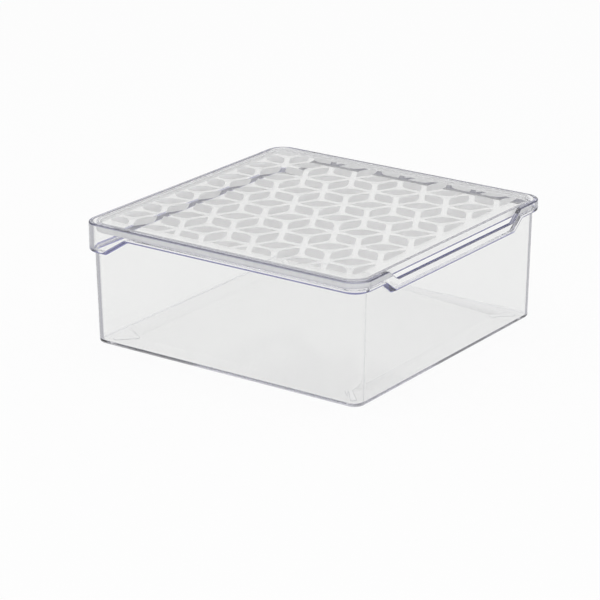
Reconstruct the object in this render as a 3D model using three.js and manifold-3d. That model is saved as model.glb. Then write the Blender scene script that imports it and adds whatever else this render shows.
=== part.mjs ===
// Clear square storage box: a stepped tray and a flat lid that drops into its rim.
// Millimetres, +Z up. The origin is on the ground under the middle of the box.
// -X is the side with the deep grip band, +X the side with the finger notch.
import * as THREE from "three";
import { mergeVertices } from "three/addons/utils/BufferGeometryUtils.js";
import Module from "manifold-3d";

// Overall size
const SIDE = 185; // over the rim, both ways
const HEIGHT = 71; // from the ground to the top of the lid
const RIM_CORNER = 11; // plan radius of the rim's outer corners

// Walls
const WALL = 2; // side walls
const FLOOR = 2.2;
const DRAFT = THREE.MathUtils.degToRad(1.15); // lean of the side walls
const BOTTOM_ROUND = 3; // outer edge between floor and wall
const INNER_ROUND = 1.5; // inner edge between floor and wall

// Rim: the wall steps out and goes on up round the lid
const RIM_OVERHANG = 3; // how far the rim stands out past the wall
const RIM_WALL = 2.5; // upstand round the lid
const RIM_EDGE = 0.4; // broken edges of the rim
const STEP_WEB = 2.4; // thickness of the step that carries the lid
const STEP_FILLET = 2; // hollow under the step, where it leaves the wall

// Grip band: on the -X side the step lies lower, and the band runs round both corners
const GRIP_DROP = 9.9;
const GRIP_WRAP = 15; // length of the full band along the front and the back
const GRIP_SLANT = 15.5; // length of the slope back up to the plain rim

// Finger notch: in the middle of the +X side the rim's top and its step both lie lower
const NOTCH_LENGTH = 115; // along the lowered top edge
const NOTCH_SLANT = 8.5; // length of the slope at each end
const NOTCH_TOP_DROP = 5.65;
const NOTCH_STEP_DROP = 6.55;
const NOTCH_STEP_EXTRA = 2; // the lowered step is longer than the lowered top by this at each end

// Lid
const LID_THICKNESS = 3.2;
const LID_CORNER = 11;
const LID_ROUND = 1.2; // upper edge
const LID_EDGE = 0.4; // lower edge
const LID_PROUD = 0.35; // the lid stands this far over the rim
const LID_CLEARANCE = 0.6; // between the lid and the upstand
const SEAT_CLEARANCE = 0.3; // between the lid and the step

// Feet: four bars under the floor, each along a diagonal of the box
const FOOT_LENGTH = 14.5;
const FOOT_WIDTH = 3.6;
const FOOT_HEIGHT = 0.8;
const FOOT_EMBED = 0.5; // how far a foot reaches up into the floor
const FOOT_INSET = 17.2; // from the rim's outer faces to the middle of a foot

// Smoothness
const CORNER_STEPS = 8; // facets of a plan corner
const ROUND_STEPS = 3; // facets of a rounded edge
const LEAST_CORNER = 0.5; // no inner corner gets sharper than this radius

// Levels that follow from the sizes above
const HALF = SIDE / 2;
const RIM_TOP = HEIGHT - LID_PROUD;
const LID_BOTTOM = HEIGHT - LID_THICKNESS;
const SEAT = LID_BOTTOM - SEAT_CLEARANCE;
const STEP = SEAT - STEP_WEB;
const FLOOR_TOP = FOOT_HEIGHT + FLOOR;
const LID_HALF = HALF - RIM_WALL - LID_CLEARANCE;

const wasm = await Module();
wasm.setup();

// Stations run once round a rounded square, anticlockwise from above.
// Each one gives its plan point for any half side and corner radius.
function cornerStations(quarter) {
  const stations = [];
  for (let i = 0; i <= CORNER_STEPS; i++) {
    const angle = (quarter + i / CORNER_STEPS) * (Math.PI / 2);
    const middle = (quarter + 0.5) * (Math.PI / 2);
    stations.push((half, radius) => {
      const centre = half - radius;
      return new THREE.Vector2(
        centre * Math.sign(Math.cos(middle)) + radius * Math.cos(angle),
        centre * Math.sign(Math.sin(middle)) + radius * Math.sin(angle),
      );
    });
  }
  return stations;
}

// Places along one straight side; those that would lie inside a corner are left to the corner.
function sideStations(places, pointAt) {
  return places
    .filter((along) => Math.abs(along) < HALF - RIM_CORNER)
    .map((along) => (half) => pointAt(along, half));
}

const gripEnds = [-HALF + GRIP_WRAP, -HALF + GRIP_WRAP + GRIP_SLANT];
const topEnds = [NOTCH_LENGTH / 2, NOTCH_LENGTH / 2 + NOTCH_SLANT];
const stepEnds = topEnds.map((end) => end + NOTCH_STEP_EXTRA);
const notchPlaces = [...topEnds, ...stepEnds]
  .flatMap((end) => [-end, end])
  .sort((a, b) => a - b);

const lidStations = [0, 1, 2, 3].flatMap(cornerStations);
const trayStations = [
  ...cornerStations(0),
  ...sideStations([...gripEnds].reverse(), (along, half) => new THREE.Vector2(along, half)),
  ...cornerStations(1),
  ...cornerStations(2),
  ...sideStations(gripEnds, (along, half) => new THREE.Vector2(along, -half)),
  ...cornerStations(3),
  ...sideStations(notchPlaces, (along, half) => new THREE.Vector2(half, along)),
];

// 1 up to the place "full", falling to 0 at the place "none".
function ramp(value, [full, none]) {
  return THREE.MathUtils.clamp((none - value) / (none - full), 0, 1);
}

// Share of the finger notch at a plan point: only the +X side has it.
function notchShare(point, ends) {
  return point.x > 0 ? ramp(Math.abs(point.y), ends) : 0;
}

function rimTopAt(point) {
  return RIM_TOP - NOTCH_TOP_DROP * notchShare(point, topEnds);
}

function stepAt(point) {
  const grip = GRIP_DROP * ramp(point.x, gripEnds);
  return STEP - grip - NOTCH_STEP_DROP * notchShare(point, stepEnds);
}

// Distance from the rim's outer face in to the wall's outer face, at a height.
function wallInset(z) {
  return RIM_OVERHANG + (SEAT - z) * Math.tan(DRAFT);
}

// Angles of a quarter round, both ends included.
const quarterAngles = Array.from(
  { length: ROUND_STEPS + 1 },
  (_, i) => (i / ROUND_STEPS) * (Math.PI / 2),
);

// The tray's profile from the middle of its underside, up outside, over the rim and down inside.
// A profile point gives, for a plan point of the rim, its inset from the rim and its height.
const footInset = wallInset(FOOT_HEIGHT + BOTTOM_ROUND);
const innerInset = wallInset(FLOOR_TOP + INNER_ROUND) + WALL;
const trayProfile = [
  ...quarterAngles.map((angle) => () => ({
    inset: footInset + BOTTOM_ROUND * (1 - Math.sin(angle)),
    z: FOOT_HEIGHT + BOTTOM_ROUND * (1 - Math.cos(angle)),
  })),
  ...quarterAngles.map((angle) => (point) => {
    const step = stepAt(point);
    return {
      inset: wallInset(step) - STEP_FILLET * (1 - Math.cos(angle)),
      z: step - STEP_FILLET * (1 - Math.sin(angle)),
    };
  }),
  (point) => ({ inset: RIM_EDGE, z: stepAt(point) }),
  (point) => ({ inset: 0, z: stepAt(point) + RIM_EDGE }),
  (point) => ({ inset: 0, z: rimTopAt(point) - RIM_EDGE }),
  (point) => ({ inset: RIM_EDGE, z: rimTopAt(point) }),
  (point) => ({ inset: RIM_WALL - RIM_EDGE, z: rimTopAt(point) }),
  (point) => ({ inset: RIM_WALL, z: rimTopAt(point) - RIM_EDGE }),
  (point) => ({ inset: RIM_WALL, z: stepAt(point) + STEP_WEB }),
  (point) => {
    const seat = stepAt(point) + STEP_WEB;
    return { inset: wallInset(seat) + WALL, z: seat };
  },
  ...quarterAngles.map((angle) => () => ({
    inset: innerInset + INNER_ROUND * (1 - Math.cos(angle)),
    z: FLOOR_TOP + INNER_ROUND * (1 - Math.sin(angle)),
  })),
];

// The lid's profile from the middle of its underside round to the middle of its top.
const lidProfile = [
  () => ({ inset: LID_EDGE, z: 0 }),
  () => ({ inset: 0, z: LID_EDGE }),
  ...quarterAngles.map((angle) => () => ({
    inset: LID_ROUND * (1 - Math.cos(angle)),
    z: LID_THICKNESS - LID_ROUND * (1 - Math.sin(angle)),
  })),
];

// Closed surface through one ring for each profile point, with a fan over the first and last ring.
function loft(stations, profile, half, corner) {
  const positions = [];
  const triangles = [];
  const count = stations.length;
  for (const profilePoint of profile) {
    for (const station of stations) {
      const { inset, z } = profilePoint(station(half, corner));
      const point = station(half - inset, Math.max(corner - inset, LEAST_CORNER));
      positions.push(point.x, point.y, z);
    }
  }
  const first = profile.length * count;
  const last = first + 1;
  positions.push(0, 0, positions[2]);
  positions.push(0, 0, positions[first * 3 - 1]);
  for (let i = 0; i < count; i++) {
    const next = (i + 1) % count;
    for (let ring = 0; ring + 1 < profile.length; ring++) {
      const low = ring * count;
      const high = low + count;
      triangles.push(low + i, low + next, high + next);
      triangles.push(low + i, high + next, high + i);
    }
    triangles.push(first, next, i);
    triangles.push(last, first - count + i, first - count + next);
  }
  const geometry = new THREE.BufferGeometry();
  geometry.setAttribute("position", new THREE.Float32BufferAttribute(positions, 3));
  geometry.setIndex(triangles);
  return geometry;
}

function solidFrom(geometry) {
  const bare = geometry.clone();
  bare.deleteAttribute("normal");
  bare.deleteAttribute("uv");
  const merged = mergeVertices(bare);
  return new wasm.Manifold(
    new wasm.Mesh({
      numProp: 3,
      vertProperties: merged.attributes.position.array,
      triVerts: new Uint32Array(merged.index.array),
    }),
  );
}

function geometryFrom(solid) {
  const mesh = solid.getMesh();
  const geometry = new THREE.BufferGeometry();
  geometry.setAttribute("position", new THREE.BufferAttribute(mesh.vertProperties, 3));
  geometry.setIndex(new THREE.BufferAttribute(mesh.triVerts, 1));
  geometry.computeVertexNormals();
  return geometry;
}

// One foot bar for each corner, lying along the diagonal that ends there.
function footGeometry(signX, signY) {
  const middle = HALF - FOOT_INSET;
  const reach = FOOT_HEIGHT + FOOT_EMBED;
  return new THREE.BoxGeometry(FOOT_LENGTH, FOOT_WIDTH, reach)
    .rotateZ((signX * signY * Math.PI) / 4)
    .translate(signX * middle, signY * middle, reach / 2);
}

function buildTray() {
  let solid = solidFrom(loft(trayStations, trayProfile, HALF, RIM_CORNER));
  for (const signX of [-1, 1]) {
    for (const signY of [-1, 1]) {
      solid = solid.add(solidFrom(footGeometry(signX, signY)));
    }
  }
  const material = new THREE.MeshStandardMaterial({
    color: 0xeceef4,
    roughness: 0.06,
    metalness: 0,
    transparent: true,
    opacity: 0.35,
  });
  const tray = new THREE.Mesh(geometryFrom(solid), material);
  tray.name = "tray";
  return tray;
}

function buildLid() {
  const material = new THREE.MeshStandardMaterial({
    color: 0xe4e6ea,
    roughness: 0.3,
    metalness: 0,
    transparent: true,
    opacity: 0.55,
  });
  const lid = new THREE.Mesh(loft(lidStations, lidProfile, LID_HALF, LID_CORNER), material);
  lid.geometry.computeVertexNormals();
  lid.name = "lid";
  lid.position.z = LID_BOTTOM;
  return lid;
}

const storageBox = new THREE.Group();
storageBox.add(buildTray(), buildLid());

export default storageBox;
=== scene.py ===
import math

import bpy
from mathutils import Matrix, Vector
from mathutils.geometry import delaunay_2d_cdt


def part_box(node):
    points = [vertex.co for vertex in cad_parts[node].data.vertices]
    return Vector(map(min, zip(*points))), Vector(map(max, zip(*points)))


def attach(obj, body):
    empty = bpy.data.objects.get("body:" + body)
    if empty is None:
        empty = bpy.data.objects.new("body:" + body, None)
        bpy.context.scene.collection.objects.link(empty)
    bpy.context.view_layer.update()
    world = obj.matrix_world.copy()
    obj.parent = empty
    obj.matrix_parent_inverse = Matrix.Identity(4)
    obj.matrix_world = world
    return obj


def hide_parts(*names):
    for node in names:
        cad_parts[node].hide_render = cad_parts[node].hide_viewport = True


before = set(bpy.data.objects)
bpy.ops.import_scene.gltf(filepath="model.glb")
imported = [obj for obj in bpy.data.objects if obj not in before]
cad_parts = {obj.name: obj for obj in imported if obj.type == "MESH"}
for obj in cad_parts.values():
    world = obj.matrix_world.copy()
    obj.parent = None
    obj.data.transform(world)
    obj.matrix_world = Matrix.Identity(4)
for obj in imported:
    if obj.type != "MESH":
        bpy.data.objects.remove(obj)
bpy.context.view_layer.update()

# A clear square storage box: a stepped tray, and a flat lid with frosted leaves that drops into its rim.
# Metres, +Z up. -X is the side with the deep grip band, +X the side with the finger notch.
MM = 0.001

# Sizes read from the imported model
tray_low, tray_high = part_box("tray")
lid_low, lid_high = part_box("lid")
HALF = tray_high.x
GROUND = tray_low.z
RIM_TOP = tray_high.z
LID_HALF = lid_high.x
LID_BOTTOM = lid_low.z
LID_TOP = lid_high.z

# Tray walls
RIM_CORNER = 11 * MM
WALL = 2 * MM
FLOOR = 1.6 * MM
DRAFT = math.radians(1.15)
BOTTOM_ROUND = 1.5 * MM
INNER_ROUND = 0.6 * MM

# Rim: the wall steps out and goes on up round the lid
RIM_OVERHANG = 3 * MM
RIM_WALL = 2.5 * MM
RIM_OUTER_ROUND = 0.75 * MM
RIM_INNER_ROUND = 0.4 * MM
RIM_FOOT_ROUND = 1.0 * MM
STEP_WEB = 1.3 * MM
STEP_FILLET = 1.2 * MM
SEAT_CLEARANCE = 0.2 * MM
SEAT_ROUND = 0.12 * MM
STEP_RISE = 0.3 * MM

# Ledge: the inner edge of the seat, rounder where it is seen across the box, with an upright land below it
LEDGE_ROUND = 0.15 * MM
FAR_LEDGE_ROUND = 1.6 * MM
FAR_INSET = 5.2 * MM
LAND_HEIGHT = 3.0 * MM
LAND_ROUND = 5 * MM

# Grip band on the -X side
GRIP_DROP = 9.9 * MM
GRIP_WRAP = 15 * MM
GRIP_SLANT = 15.5 * MM
GRIP_BLEND = 1.2 * MM
GRIP_LEDGE_ENDS = (58 * MM, 64 * MM)

# Finger notch in the +X side
NOTCH_LENGTH = 115 * MM
NOTCH_SLANT = 8.5 * MM
NOTCH_TOP_DROP = 6.4 * MM
NOTCH_STEP_DROP = 6.55 * MM
NOTCH_STEP_EXTRA = 2 * MM
NOTCH_BLEND = 0.8 * MM
NOTCH_RIM_ROUND = 0.4 * MM
NOTCH_FOOT_ROUND = 1.5 * MM

# Feet: four bars under the floor, each along a diagonal
FOOT_LENGTH = 14.5 * MM
FOOT_WIDTH = 3.6 * MM
FOOT_HEIGHT = 0.4 * MM
FOOT_INSET = 17.2 * MM
FOOT_CORNER = 0.8 * MM
FOOT_ROUND = 0.25 * MM

# Lid: a plate with a low skirt under its border
LID_CORNER = 11 * MM
LID_ROUND = 0.8 * MM
SKIRT_DROP = 2.2 * MM
SKIRT_WIDTH = 2.2 * MM
SKIRT_FILLET = 0.5 * MM
SKIRT_INNER_ROUND = 0.4 * MM
SKIRT_OUTER_ROUND = 1.3 * MM

# Leaves on the lid: each lies along an edge of a triangular lattice
LEAF_BORDER = 7.4 * MM
LEAF_FIELD_CORNER = 5 * MM
LATTICE_EDGE = 27.73 * MM
LATTICE_STRETCH = 1.047
LATTICE_NODE = Vector((-15.4 * MM, 0.3 * MM))
LEAF_ANGLES = (30, 90, 150)
LEAF_HALF_LENGTH = 10.3 * MM
LEAF_HALF_WIDTH = 5.15 * MM
LEAF_BEND = 2.66 * MM
LEAF_DEPTH = 0.06 * MM
LEAF_FLANK = 0.12 * MM
LEAF_STEPS = 8
LEAST_LEAF_AREA = LEAF_HALF_WIDTH ** 2 / 8

# Corners of the tray's profile, and of the lid's, whose faces differ from plain clear plastic
BOTTOM_EDGE, STEP_HOLLOW, RIM_FOOT, RIM_OUTER = range(4)
LEDGE_EDGE = 6
LOWER_EDGE, UPPER_EDGE = range(2, 4)

# Share of the violet shade painted on rounded edges, standing in for the dark lines that refraction draws
# along them
STEP_PAINTED_SHADE = 1.0
RIM_PAINTED_SHADE = 0.65
NOTCH_RIM_PAINTED_SHADE = 0.4
NOTCH_LID_PAINTED_SHADE = 1.0
GRIP_RIM_PAINTED_SHADE = 1.0
UPPER_EDGE_PAINTED_SHADE = 0.25

# Haze of the tray's floor, as a share of the leaves' frost
FLOOR_HAZE = 0.25

# Milky share of the frosted leaves, of the lid's sides and upper edge, and of the tray's bottom edge
LEAF_MILK = 0.36
SIDE_MILK = 0.95
UPPER_EDGE_MILK = 0.4
BOTTOM_MILK = 0.2

# Smoothness
CORNER_STEPS = 24
ROUND_STEPS = 6
SLANT_SPACING = 0.6 * MM
SAME_POINT = 0.001 * MM

# Levels that follow from the sizes above
SKIRT_BOTTOM = LID_BOTTOM - SKIRT_DROP
SEAT = SKIRT_BOTTOM - SEAT_CLEARANCE
STEP = SEAT - STEP_WEB
UNDERSIDE = GROUND + FOOT_HEIGHT
FLOOR_TOP = UNDERSIDE + FLOOR

GRIP_ENDS = (-HALF + GRIP_WRAP, -HALF + GRIP_WRAP + GRIP_SLANT)
TOP_ENDS = (NOTCH_LENGTH / 2, NOTCH_LENGTH / 2 + NOTCH_SLANT)
STEP_ENDS = tuple(end + NOTCH_STEP_EXTRA for end in TOP_ENDS)
FAR_ENDS = (-HALF + FAR_INSET, -HALF + RIM_CORNER)


# Stations run once round a rounded square, anticlockwise from above.
# Each one gives its plan point for any half side and corner radius.
def corner_stations(quarter):
    middle = (quarter + 0.5) * math.pi / 2
    sign = Vector((math.copysign(1, math.cos(middle)), math.copysign(1, math.sin(middle))))
    stations = []
    for i in range(CORNER_STEPS + 1):
        angle = (quarter + i / CORNER_STEPS) * math.pi / 2
        out = Vector((math.cos(angle), math.sin(angle)))
        stations.append(lambda half, radius, out=out: sign * (half - radius) + out * radius)
    return stations


def side_stations(normal, places):
    tangent = Vector((-normal.y, normal.x))
    return [lambda half, radius, along=along: normal * half + tangent * along for along in places]


def even_places(start, end):
    count = math.ceil((end - start) / SLANT_SPACING)
    return [start + (end - start) * i / count for i in range(count + 1)]


# Zero below, the value itself above, with a soft bend of the given half width.
def soft_positive(value, blend):
    if value <= -blend:
        return 0
    if value >= blend:
        return value
    return (value + blend) ** 2 / (4 * blend)


# 1 up to the first place, falling evenly to 0 at the second, with soft bends.
def ramp(value, ends, blend):
    full, none = ends
    fall = soft_positive(value - full, blend) - soft_positive(value - none, blend)
    return 1 - fall / (none - full)


def notch_share(point, ends):
    return ramp(abs(point.y), ends, NOTCH_BLEND) if point.x > 0 else 0


def rim_top_at(point):
    return RIM_TOP - NOTCH_TOP_DROP * notch_share(point, TOP_ENDS)


def step_at(point):
    grip = GRIP_DROP * ramp(point.x, GRIP_ENDS, GRIP_BLEND)
    return STEP - grip - NOTCH_STEP_DROP * notch_share(point, STEP_ENDS)


# Share of the back side at a plan point.
def back_share(point):
    return ramp(-point.y, FAR_ENDS, SLANT_SPACING)


# Share of the ledges that are seen across the box: at the back, and on the grip side
# up to near its front end.
def far_share(point):
    grip = ramp(point.x, FAR_ENDS, SLANT_SPACING) * ramp(-point.y, GRIP_LEDGE_ENDS, SLANT_SPACING)
    return max(grip, back_share(point))


# Goes from one value to another as a weight goes from 0 to 1.
def between(low, high, weight):
    return low + (high - low) * weight


# Distance from the rim's outer face in to the wall's outer face, at a height.
def wall_inset(z):
    return RIM_OVERHANG + (SEAT - z) * math.tan(DRAFT)


# A profile of (inset, height) points whose inner corners become tangent arcs of the given radii.
def rounded_profile(points, radii):
    result = []
    for before, corner, after, radius in zip(points, points[1:], points[2:], radii):
        start = (corner - before).normalized()
        end = (after - corner).normalized()
        turn = math.atan2(start.cross(end), start.dot(end))
        side = math.copysign(1, turn)
        first = corner - start * radius * math.tan(abs(turn) / 2)
        centre = first + Vector((-start.y, start.x)) * side * radius
        for i in range(ROUND_STEPS + 1):
            spoke = first - centre
            spoke.rotate(Matrix.Rotation(turn * i / ROUND_STEPS, 2))
            result.append(centre + spoke)
    return result


def tray_profile(point):
    step = step_at(point)
    top = rim_top_at(point)
    seat = step + STEP_WEB
    inner_foot = wall_inset(FLOOR_TOP) + WALL
    points = [
        (HALF, UNDERSIDE),
        (wall_inset(UNDERSIDE), UNDERSIDE),
        (wall_inset(step), step + STEP_RISE),
        (0, step),
        (0, top),
        (RIM_WALL, top),
        (RIM_WALL, seat),
        (wall_inset(seat) + WALL, seat),
        (wall_inset(seat) + WALL, seat - LAND_HEIGHT),
        (inner_foot, FLOOR_TOP),
        (HALF, FLOOR_TOP),
    ]
    notch = notch_share(point, TOP_ENDS)
    radii = [
        BOTTOM_ROUND,
        STEP_FILLET,
        between(RIM_FOOT_ROUND, NOTCH_FOOT_ROUND, notch),
        between(RIM_OUTER_ROUND, NOTCH_RIM_ROUND, notch),
        RIM_INNER_ROUND,
        SEAT_ROUND,
        between(LEDGE_ROUND, FAR_LEDGE_ROUND, far_share(point)),
        LAND_ROUND,
        INNER_ROUND,
    ]
    return rounded_profile([Vector(p) for p in points], radii)


def lid_profile(point):
    points = [
        (LID_HALF, LID_BOTTOM),
        (SKIRT_WIDTH, LID_BOTTOM),
        (SKIRT_WIDTH, SKIRT_BOTTOM),
        (0, SKIRT_BOTTOM),
        (0, LID_TOP),
        (LID_HALF, LID_TOP),
    ]
    radii = [SKIRT_FILLET, SKIRT_INNER_ROUND, SKIRT_OUTER_ROUND, LID_ROUND]
    return rounded_profile([Vector(p) for p in points], radii)


# Triangulation: triangles inside the outer ring only, and points merged only where they coincide
KEEP_INSIDE = 1
MERGE_DISTANCE = 1e-9


# A mesh under construction. Flat faces keep their own normal, the others are smooth.
# Each face has its shares of frost, painted violet edge shade, painted dark ledge shade and milky white.
class Shell:
    def __init__(self):
        self.points = []
        self.faces = []
        self.flat = []
        self.shares = {"frost": [], "painted_edge_shade": [], "shade": [], "milk": []}

    def add_point(self, x, y, z):
        self.points.append(Vector((x, y, z)))
        return len(self.points) - 1

    # Shares not given are none.
    def add_face(self, corners, flat=False, **given):
        self.faces.append(tuple(corners))
        self.flat.append(flat)
        for name, values in self.shares.items():
            values.append(given.get(name, 0.0))

    # One ring of points for each profile point, joined by quads. Gives back the first and last ring.
    # shares_at gives a face's shares from the profile's corner that it belongs to, whether it lies
    # on that corner's round or on the stretch after it, and one of its points.
    def add_loft(self, stations, profile, half, corner, shares_at):
        columns = []
        for station in stations:
            column = []
            for inset, z in profile(station(half, corner)):
                plan = station(half - inset, corner - inset)
                column.append(self.add_point(plan.x, plan.y, z))
            columns.append(column)
        for left, right in zip(columns, columns[1:] + columns[:1]):
            for i in range(len(left) - 1):
                arc, step = divmod(i, ROUND_STEPS + 1)
                shares = shares_at(arc, step < ROUND_STEPS, self.points[left[i]])
                self.add_face((left[i], right[i], right[i + 1], left[i + 1]), **shares)
        return [column[0] for column in columns], [column[-1] for column in columns]

    # Joins two rings of the same length by quads.
    def add_band(self, low, high):
        for i, j in zip(range(len(low)), list(range(1, len(low))) + [0]):
            self.add_face((low[i], low[j], high[j], high[i]))

    # Triangles that fill a ring and keep every inner outline as edges.
    # shares_at gives a triangle's shares by its middle, or None to leave it out.
    def add_cap(self, ring, outlines, upward, shares_at):
        ids = list(ring)
        edges = [(i, (i + 1) % len(ring)) for i in range(len(ring))]
        for outline in outlines:
            first = len(ids)
            edges += [(first + i, first + (i + 1) % len(outline)) for i in range(len(outline))]
            ids += outline
        plan = [self.points[i].to_2d() for i in ids]
        made = delaunay_2d_cdt(plan, edges, [], KEEP_INSIDE, MERGE_DISTANCE, True)
        places, _, triangles, sources = made[:4]
        origin = [ids[source[0]] for source in sources]
        for corners in triangles:
            middle = sum((places[i] for i in corners), Vector((0, 0))) / len(corners)
            shares = shares_at(middle)
            if shares is None:
                continue
            turned = corners if upward else corners[::-1]
            self.add_face([origin[i] for i in turned], flat=True, **shares)

    def to_object(self, name, material):
        mesh = bpy.data.meshes.new(name)
        mesh.from_pydata(self.points, [], self.faces)
        mesh.materials.append(material)
        for share, values in self.shares.items():
            mesh.attributes.new(share, "FLOAT", "FACE").data.foreach_set("value", values)
        mesh.polygons.foreach_set("use_smooth", [True] * len(self.faces))
        mesh.update()
        smooth = [Vector() for _ in self.points]
        for polygon in mesh.polygons:
            for i in polygon.vertices:
                smooth[i] += polygon.normal * polygon.area
        normals = []
        for polygon, flat in zip(mesh.polygons, self.flat):
            for i in polygon.vertices:
                normals.append(polygon.normal if flat else smooth[i].normalized())
        mesh.normals_split_custom_set([tuple(n) for n in normals])
        made = bpy.data.objects.new(name, mesh)
        bpy.context.scene.collection.objects.link(made)
        return made


def inside(point, outline):
    hit = False
    for a, b in zip(outline, outline[1:] + outline[:1]):
        if (a.y > point.y) != (b.y > point.y):
            if point.x < a.x + (b.x - a.x) * (point.y - a.y) / (b.y - a.y):
                hit = not hit
    return hit


# Foot bars
def foot_outline(middle, angle, shrink):
    half = Vector((FOOT_LENGTH / 2 - shrink, FOOT_WIDTH / 2 - shrink))
    radius = FOOT_CORNER - shrink
    turn = Matrix.Rotation(angle, 2)
    outline = []
    for quarter in range(4):
        spread = (quarter + 0.5) * math.pi / 2
        centre = Vector((
            math.copysign(half.x - radius, math.cos(spread)),
            math.copysign(half.y - radius, math.sin(spread)),
        ))
        for i in range(ROUND_STEPS + 1):
            bend = (quarter + i / ROUND_STEPS) * math.pi / 2
            corner = centre + Vector((math.cos(bend), math.sin(bend))) * radius
            outline.append(middle + turn @ corner)
    return outline


def add_foot(shell, middle, angle):
    rings = [[shell.add_point(p.x, p.y, UNDERSIDE) for p in foot_outline(middle, angle, 0)]]
    for i in range(ROUND_STEPS + 1):
        bend = i / ROUND_STEPS * math.pi / 2
        shrink = FOOT_ROUND * (1 - math.cos(bend))
        z = GROUND + FOOT_ROUND * (1 - math.sin(bend))
        rings.append([shell.add_point(p.x, p.y, z) for p in foot_outline(middle, angle, shrink)])
    for high, low in zip(rings, rings[1:]):
        shell.add_band(low, high)
    shell.add_face(rings[-1][::-1], flat=True)
    return rings[0]


def notch_stations():
    places = even_places(TOP_ENDS[0] - NOTCH_BLEND, STEP_ENDS[1] + NOTCH_BLEND)
    return side_stations(Vector((1, 0)), [-y for y in reversed(places)] + places)


def tray_edge_shares(corner, on_round, point):
    # Painted dark shade on the far ledges and on the land below the back ledge
    if corner == LEDGE_EDGE and not on_round:
        return {"shade": back_share(point)}
    if not on_round:
        return {}
    if corner == BOTTOM_EDGE:
        return {"milk": BOTTOM_MILK}
    # Painted violet shade on the step hollow, the rim foot and the rim's outer edge
    if corner in (STEP_HOLLOW, RIM_FOOT):
        return {"painted_edge_shade": STEP_PAINTED_SHADE}
    if corner == LEDGE_EDGE:
        return {"shade": far_share(point)}
    if corner == RIM_OUTER:
        notched = between(RIM_PAINTED_SHADE, NOTCH_RIM_PAINTED_SHADE, notch_share(point, TOP_ENDS))
        return {"painted_edge_shade": between(notched, GRIP_RIM_PAINTED_SHADE, ramp(point.x, FAR_ENDS, SLANT_SPACING))}
    return {}


def build_tray(material):
    shell = Shell()
    grip = even_places(GRIP_ENDS[0] - GRIP_BLEND, GRIP_ENDS[1] + GRIP_BLEND)
    stations = [
        *corner_stations(0),
        *side_stations(Vector((0, 1)), [-x for x in reversed(grip)]),
        *corner_stations(1),
        *side_stations(Vector((-1, 0)), even_places(*GRIP_LEDGE_ENDS)),
        *corner_stations(2),
        *side_stations(Vector((0, -1)), grip),
        *corner_stations(3),
        *notch_stations(),
    ]
    bottom, floor = shell.add_loft(stations, tray_profile, HALF, RIM_CORNER, tray_edge_shares)
    shell.add_face(floor, flat=True, frost=FLOOR_HAZE)
    feet = []
    for sign_x in (-1, 1):
        for sign_y in (-1, 1):
            middle = Vector((sign_x, sign_y)) * (HALF - FOOT_INSET)
            feet.append(add_foot(shell, middle, sign_x * sign_y * math.pi / 4))
    outlines = [[shell.points[i].to_2d() for i in foot] for foot in feet]

    def shares_at(middle):
        return None if any(inside(middle, outline) for outline in outlines) else {}

    shell.add_cap(bottom, feet, upward=False, shares_at=shares_at)
    return shell.to_object("tray_shell", material)


# Half width of a leaf at a place along it: straight flanks that meet in a round bend.
def leaf_half_width(along):
    tip = (LEAF_HALF_WIDTH + LEAF_BEND) ** 2 - LEAF_BEND ** 2
    slope = tip * (along / LEAF_HALF_LENGTH) ** 2
    return LEAF_HALF_WIDTH + LEAF_BEND - math.sqrt(LEAF_BEND ** 2 + slope)


def leaf_outline():
    places = [LEAF_HALF_LENGTH * i / LEAF_STEPS for i in range(-LEAF_STEPS, LEAF_STEPS)]
    upper = [Vector((-u, leaf_half_width(u))) for u in places]
    lower = [Vector((u, -leaf_half_width(u))) for u in places]
    return upper + lower


# Moves an outline in by a distance, corner by corner.
def shrunk(outline, distance):
    result = []
    for before, corner, after in zip(outline[-1:] + outline, outline, outline[1:] + outline[:1]):
        start = (corner - before).normalized()
        end = (after - corner).normalized()
        bisector = Vector((-start.y - end.y, start.x + end.x)).normalized()
        result.append(corner + bisector * distance)
    return result


# Cuts an outline to a convex field, both anticlockwise.
def clipped(outline, field):
    for a, b in zip(field, field[1:] + field[:1]):
        edge = b - a
        kept = []
        for start, end in zip(outline[-1:] + outline[:-1], outline):
            start_in = edge.cross(start - a)
            end_in = edge.cross(end - a)
            if (start_in >= 0) != (end_in >= 0):
                kept.append(start + (end - start) * (start_in / (start_in - end_in)))
            if end_in >= 0:
                kept.append(end)
        outline = kept
        if not outline:
            return []
    return outline


def leaf_field(margin):
    stations = [s for quarter in range(4) for s in corner_stations(quarter)]
    half = LID_HALF - LEAF_BORDER - margin
    return [s(half, LEAF_FIELD_CORNER) for s in stations]


def leaf_outlines(margin):
    field = leaf_field(margin)
    leaf = shrunk(leaf_outline(), margin)
    column_pitch = LATTICE_EDGE * math.sqrt(3) / 2
    reach = math.ceil(LID_HALF * 2 / column_pitch)
    outlines = []
    for column in range(-reach, reach + 1):
        for row in range(-reach, reach + 1):
            node = Vector((column * column_pitch, (row + 0.5 * (column % 2)) * LATTICE_EDGE))
            for degrees in LEAF_ANGLES:
                angle = math.radians(degrees)
                middle = node + Vector((math.cos(angle), math.sin(angle))) * LATTICE_EDGE / 2
                turn = Matrix.Rotation(angle, 2)
                placed = [middle + turn @ p for p in leaf]
                placed = [LATTICE_NODE + Vector((p.x, p.y * LATTICE_STRETCH)) for p in placed]
                outlines.append(clipped(placed, field))
    return outlines


def area_of(outline):
    return sum(a.cross(b) for a, b in zip(outline, outline[1:] + outline[:1])) / 2


def without_doubles(outline):
    return [p for q, p in zip(outline[-1:] + outline[:-1], outline) if (p - q).length > SAME_POINT]


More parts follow.
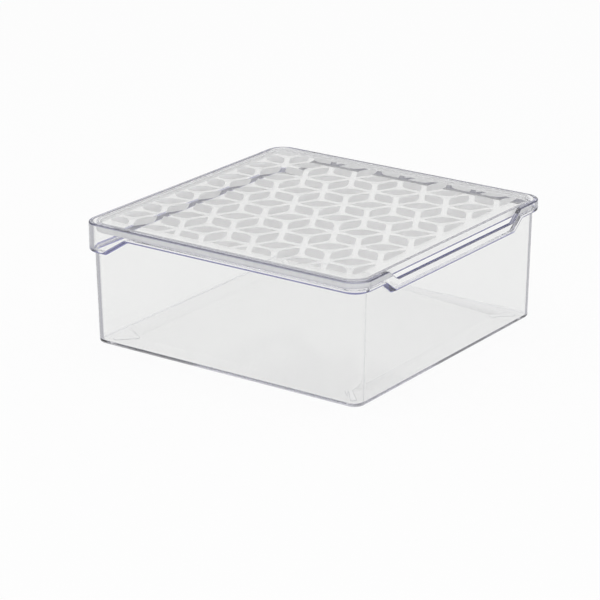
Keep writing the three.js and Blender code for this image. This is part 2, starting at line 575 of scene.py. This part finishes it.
# The lid's sides are milky, its upper edge partly milky with a little painted violet shade, and its lower
# edge has painted violet shade where the finger notch lays it bare.
def lid_edge_shares(corner, on_round, point):
    if corner == LOWER_EDGE and not on_round:
        return {"milk": SIDE_MILK}
    if corner == LOWER_EDGE:
        notch = notch_share(point, TOP_ENDS)
        return {"painted_edge_shade": NOTCH_LID_PAINTED_SHADE * notch, "milk": SIDE_MILK * (1 - notch)}
    if corner == UPPER_EDGE:
        return {"milk": UPPER_EDGE_MILK, "painted_edge_shade": UPPER_EDGE_PAINTED_SHADE}
    return {}


def build_lid(material):
    shell = Shell()
    stations = [s for quarter in range(4) for s in corner_stations(quarter)] + notch_stations()
    bottom, top = shell.add_loft(stations, lid_profile, LID_HALF, LID_CORNER, lid_edge_shares)
    shell.add_face(bottom[::-1], flat=True)
    loops = []
    leaves = []
    for outer, inner in zip(leaf_outlines(0), leaf_outlines(LEAF_FLANK)):
        if len(inner) < 3 or area_of(inner) < LEAST_LEAF_AREA:
            continue
        outer = without_doubles(outer)
        inner = without_doubles(inner)
        loops.append([shell.add_point(p.x, p.y, LID_TOP) for p in outer])
        loops.append([shell.add_point(p.x, p.y, LID_TOP - LEAF_DEPTH) for p in inner])
        leaves.append(outer)
    boxes = []
    for leaf in leaves:
        xs = [p.x for p in leaf]
        ys = [p.y for p in leaf]
        boxes.append((min(xs), max(xs), min(ys), max(ys)))

    def shares_at(middle):
        for leaf, (x0, x1, y0, y1) in zip(leaves, boxes):
            if x0 <= middle.x <= x1 and y0 <= middle.y <= y1 and inside(middle, leaf):
                return {"frost": 1.0, "milk": LEAF_MILK}
        return {}

    shell.add_cap(top, loops, upward=True, shares_at=shares_at)
    return shell.to_object("lid_plate", material)


# Sockets of a mix node that hold colours
MIX_LOW = 6
MIX_HIGH = 7
MIX_RESULT = 2


def new_material(name):
    material = bpy.data.materials.new(name)
    material.use_nodes = True
    material.node_tree.nodes.clear()
    return material


class Tree:
    def __init__(self, tree):
        self.tree = tree

    def add(self, kind, **settings):
        node = self.tree.nodes.new(kind)
        for key, value in settings.items():
            setattr(node, key, value)
        return node

    def link(self, source, target):
        self.tree.links.new(source, target)

    def noise(self, scale, detail):
        place = self.add("ShaderNodeTexCoord")
        noise = self.add("ShaderNodeTexNoise")
        noise.inputs["Scale"].default_value = scale
        noise.inputs["Detail"].default_value = detail
        self.link(place.outputs["Object"], noise.inputs["Vector"])
        return noise.outputs["Fac"]

    def spread(self, source, low, high):
        node = self.add("ShaderNodeMapRange")
        node.inputs["To Min"].default_value = low
        node.inputs["To Max"].default_value = high
        self.link(source, node.inputs["Value"])
        return node.outputs["Result"]

    # Goes smoothly from the first level to the second while the source crosses a span.
    def fade(self, source, span, levels):
        node = self.add("ShaderNodeMapRange", interpolation_type="SMOOTHSTEP")
        node.inputs["From Min"].default_value = span[0]
        node.inputs["From Max"].default_value = span[1]
        node.inputs["To Min"].default_value = levels[0]
        node.inputs["To Max"].default_value = levels[1]
        self.link(source, node.inputs["Value"])
        return node.outputs["Result"]

    def attribute(self, name):
        return self.add("ShaderNodeAttribute", attribute_name=name).outputs["Fac"]

    # A sum with two terms, each a fixed number or a node's output.
    def combine(self, operation, first, second):
        node = self.add("ShaderNodeMath", operation=operation)
        for source, target in zip((first, second), node.inputs):
            if isinstance(source, (int, float)):
                target.default_value = source
            else:
                self.link(source, target)
        return node.outputs[0]

    # Mixes two colours, each a fixed one or a node's output.
    def colour_mix(self, factor, low, high):
        node = self.add("ShaderNodeMix", data_type="RGBA")
        self.link(factor, node.inputs["Factor"])
        for source, target in ((low, node.inputs[MIX_LOW]), (high, node.inputs[MIX_HIGH])):
            if isinstance(source, tuple):
                target.default_value = source
            else:
                self.link(source, target)
        return node.outputs[MIX_RESULT]

    # How often light was turned round inside the plastic.
    def turns(self):
        light = self.add("ShaderNodeLightPath")
        return self.combine("MINIMUM", light.outputs["Glossy Depth"], light.outputs["Transmission Depth"])

    # Whether light was turned round, fading out over the span in which many turns pipe it along a plate.
    def turned(self, piped_span):
        turns = self.turns()
        some = self.fade(turns, (0, 1), (0, 1))
        return self.combine("MULTIPLY", some, self.fade(turns, piped_span, (1, 0)))

    def mix(self, factor, low, high):
        node = self.add("ShaderNodeMix")
        self.link(factor, node.inputs["Factor"])
        for source, target in ((low, node.inputs["A"]), (high, node.inputs["B"])):
            if isinstance(source, (int, float)):
                target.default_value = source
            else:
                self.link(source, target)
        return node.outputs["Result"]

    def bump(self, height, distance, under=None):
        node = self.add("ShaderNodeBump")
        node.inputs["Distance"].default_value = distance
        self.link(height, node.inputs["Height"])
        if under:
            self.link(under, node.inputs["Normal"])
        return node.outputs["Normal"]


# Moulded clear plastic that lamps shine through, with violet shade painted along its rounded edges and
# dark shade painted on far ledges.
# Faces with a frost share of 1 are matt and grainy, and a milk share makes faces partly white.
# Each noise has a scale and a detail.
CLEAR_TINT = (0.97, 0.972, 0.965, 1)
# Violet painted shade for rounded edges
EDGE_PAINTED_SHADE = (0.1, 0.1, 0.3, 1)
# Dark painted shade for the ledges seen across the box
LEDGE_PAINTED_SHADE = (0.04, 0.04, 0.05, 1)
FROST_TINT = (0.97, 0.97, 0.965, 1)
CLEAR_IOR = 1.57
CLEAR_ROUGHNESS = (0.0, 0.03)
FROST_ROUGHNESS = (0.45, 0.55)
HAZE_NOISE = (60, 3)
FROST_NOISE = (900, 4)
WAVE_NOISE = (18, 1)
WAVE_HEIGHT = 0.003 * MM
GRAIN_NOISE = (2500, 2)
GRAIN_HEIGHT = 0.01 * MM
INNER_COLOUR = (0.2, 0.18, 0.75, 1)
INNER_DENSITY = 1
SHADOW_TINT = (0.9, 0.9, 0.92, 1)


def plastic(name):
    material = new_material(name)
    tree = Tree(material.node_tree)
    frost = tree.attribute("frost")
    shader = tree.add("ShaderNodeBsdfPrincipled")
    shader.inputs["IOR"].default_value = CLEAR_IOR
    tree.link(tree.combine("SUBTRACT", 1, tree.attribute("milk")), shader.inputs["Transmission Weight"])
    clear = tree.spread(tree.noise(*HAZE_NOISE), *CLEAR_ROUGHNESS)
    matt = tree.spread(tree.noise(*FROST_NOISE), *FROST_ROUGHNESS)
    tree.link(tree.mix(frost, clear, matt), shader.inputs["Roughness"])
    frosted = tree.colour_mix(frost, CLEAR_TINT, FROST_TINT)
    # Painted shade: violet on rounded edges, then dark on far ledges, each by its face share
    edge_shaded = tree.colour_mix(tree.attribute("painted_edge_shade"), frosted, EDGE_PAINTED_SHADE)
    tree.link(tree.colour_mix(tree.attribute("shade"), edge_shaded, LEDGE_PAINTED_SHADE), shader.inputs["Base Color"])
    wave = tree.bump(tree.noise(*WAVE_NOISE), WAVE_HEIGHT)
    grain = tree.combine("MULTIPLY", tree.noise(*GRAIN_NOISE), frost)
    tree.link(tree.bump(grain, GRAIN_HEIGHT, wave), shader.inputs["Normal"])
    light = tree.add("ShaderNodeLightPath")
    passing = tree.add("ShaderNodeBsdfTransparent")
    passing.inputs["Color"].default_value = SHADOW_TINT
    mix = tree.add("ShaderNodeMixShader")
    tree.link(light.outputs["Is Shadow Ray"], mix.inputs["Fac"])
    tree.link(shader.outputs["BSDF"], mix.inputs[1])
    tree.link(passing.outputs["BSDF"], mix.inputs[2])
    inner = tree.add("ShaderNodeVolumeAbsorption")
    inner.inputs["Color"].default_value = INNER_COLOUR
    inner.inputs["Density"].default_value = INNER_DENSITY
    output = tree.add("ShaderNodeOutputMaterial")
    tree.link(mix.outputs["Shader"], output.inputs["Surface"])
    tree.link(inner.outputs["Volume"], output.inputs["Volume"])
    return material


tray = build_tray(plastic("clear_plastic"))
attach(tray, "tray")
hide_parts("tray")

lid = build_lid(plastic("frosted_plastic"))
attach(lid, "lid")
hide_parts("lid")

# Floor: white to the camera and in the plastic, with a share of plain shading that keeps the shadow.
# Light that was turned round in the plastic finds it dimmer, as in a room that is dark beyond the lamps.
FLOOR_HALF = 3.0
FLOOR_SHADE = 0.1
FLOOR_PAINT = (0.9, 0.9, 0.9, 1)
FLOOR_TURNED = (0.4, 0.4, 0.44, 1)
PIPED_SPAN = (2, 4)
WHITE = (1, 1, 1, 1)


def build_floor():
    material = new_material("studio_floor")
    material.cycles.emission_sampling = "NONE"
    tree = Tree(material.node_tree)
    light = tree.add("ShaderNodeLightPath")
    seen = tree.combine("MAXIMUM", light.outputs["Is Camera Ray"], light.outputs["Is Glossy Ray"])
    seen = tree.combine("MAXIMUM", seen, light.outputs["Is Transmission Ray"])
    paint = tree.add("ShaderNodeBsdfDiffuse")
    paint.inputs["Color"].default_value = FLOOR_PAINT
    glow = tree.add("ShaderNodeEmission")
    tree.link(tree.colour_mix(tree.turned(PIPED_SPAN), WHITE, FLOOR_TURNED), glow.inputs["Color"])
    mix = tree.add("ShaderNodeMixShader")
    tree.link(tree.combine("MULTIPLY", seen, 1 - FLOOR_SHADE), mix.inputs["Fac"])
    tree.link(paint.outputs["BSDF"], mix.inputs[1])
    tree.link(glow.outputs["Emission"], mix.inputs[2])
    output = tree.add("ShaderNodeOutputMaterial")
    tree.link(mix.outputs["Shader"], output.inputs["Surface"])
    mesh = bpy.data.meshes.new("floor")
    signs = ((-1, -1), (1, -1), (1, 1), (-1, 1))
    mesh.from_pydata([(x * FLOOR_HALF, y * FLOOR_HALF, GROUND) for x, y in signs], [], [(0, 1, 2, 3)])
    mesh.materials.append(material)
    floor = bpy.data.objects.new("floor", mesh)
    bpy.context.scene.collection.objects.link(floor)
    return floor


build_floor()


# World: a sweep that is white at the horizon and pale above it, and a dim room over the sweep
HORIZON = (0.1, 0.25)
SWEEP_LEVEL = 0.8
SWEEP_TOP = (0.42, 0.52)
ROOM_LEVEL = 0.3


def build_world():
    world = bpy.data.worlds.new("studio")
    world.use_nodes = True
    world.node_tree.nodes.clear()
    tree = Tree(world.node_tree)
    place = tree.add("ShaderNodeTexCoord")
    split = tree.add("ShaderNodeSeparateXYZ")
    tree.link(place.outputs["Generated"], split.inputs["Vector"])
    height = split.outputs["Z"]
    sweep = tree.fade(height, HORIZON, (1, SWEEP_LEVEL))
    back = tree.add("ShaderNodeBackground")
    back.inputs["Color"].default_value = WHITE
    level = tree.combine("MULTIPLY", sweep, tree.fade(height, SWEEP_TOP, (1, ROOM_LEVEL)))
    tree.link(level, back.inputs["Strength"])
    output = tree.add("ShaderNodeOutputWorld")
    tree.link(back.outputs["Background"], output.inputs["Surface"])
    bpy.context.scene.world = world


build_world()


# Lamps
BOX_MIDDLE = (0, 0, 0.03)


def add_softbox(name, place, target, size, power):
    lamp = bpy.data.lights.new(name, "AREA")
    lamp.size = size
    lamp.energy = power
    made = bpy.data.objects.new(name, lamp)
    made.location = place
    made.rotation_euler = (Vector(target) - Vector(place)).to_track_quat("-Z", "Y").to_euler()
    bpy.context.scene.collection.objects.link(made)
    return made


add_softbox("softbox_top", place=(0.1, 0.2, 1.9), target=(0, 0, 0), size=3.0, power=28)
left_lamp = add_softbox("softbox_left", place=(-1.4, -0.9, 0.9), target=BOX_MIDDLE, size=1.6, power=4)
front_lamp = add_softbox("softbox_front", place=(0.9, -1.5, 0.7), target=BOX_MIDDLE, size=1.4, power=9)

# The clear plastic shows the sweep behind the side lamps, not these lamps as well.
for lamp in (left_lamp, front_lamp):
    lamp.visible_glossy = False
    lamp.visible_transmission = False

# Camera: a long lens from the front right, a little above the box
AZIMUTH = math.radians(35.49)
ELEVATION = math.radians(19.56)
ROLL = math.radians(-0.17)
DISTANCE = 1.4198
AIM_HEIGHT = 0.035
AIM_RIGHT = -0.00914
AIM_UP = -0.01686
FOCAL_PIXELS = 2541
FRAME_PIXELS = 600
SENSOR = 36


def build_camera():
    right = Vector((math.cos(AZIMUTH), math.sin(AZIMUTH), 0))
    back = Vector((
        math.sin(AZIMUTH) * math.cos(ELEVATION),
        -math.cos(AZIMUTH) * math.cos(ELEVATION),
        math.sin(ELEVATION),
    ))
    up = back.cross(right)
    place = Vector((0, 0, AIM_HEIGHT)) + right * AIM_RIGHT + up * AIM_UP + back * DISTANCE
    axis_x = right * math.cos(ROLL) + up * math.sin(ROLL)
    axis_y = up * math.cos(ROLL) - right * math.sin(ROLL)
    turn = Matrix((axis_x, axis_y, back)).transposed()
    lens = bpy.data.cameras.new("camera")
    lens.sensor_width = SENSOR
    lens.lens = SENSOR * FOCAL_PIXELS / FRAME_PIXELS
    camera = bpy.data.objects.new("camera", lens)
    camera.matrix_world = Matrix.Translation(place) @ turn.to_4x4()
    bpy.context.scene.collection.objects.link(camera)
    bpy.context.scene.camera = camera


build_camera()

# Light crosses and is turned round in many clear walls
MAX_BOUNCES = 64
CLEAR_BOUNCES = 40

scene = bpy.context.scene
scene.view_settings.view_transform = "Standard"
scene.cycles.max_bounces = MAX_BOUNCES
scene.cycles.transmission_bounces = CLEAR_BOUNCES
scene.cycles.glossy_bounces = CLEAR_BOUNCES
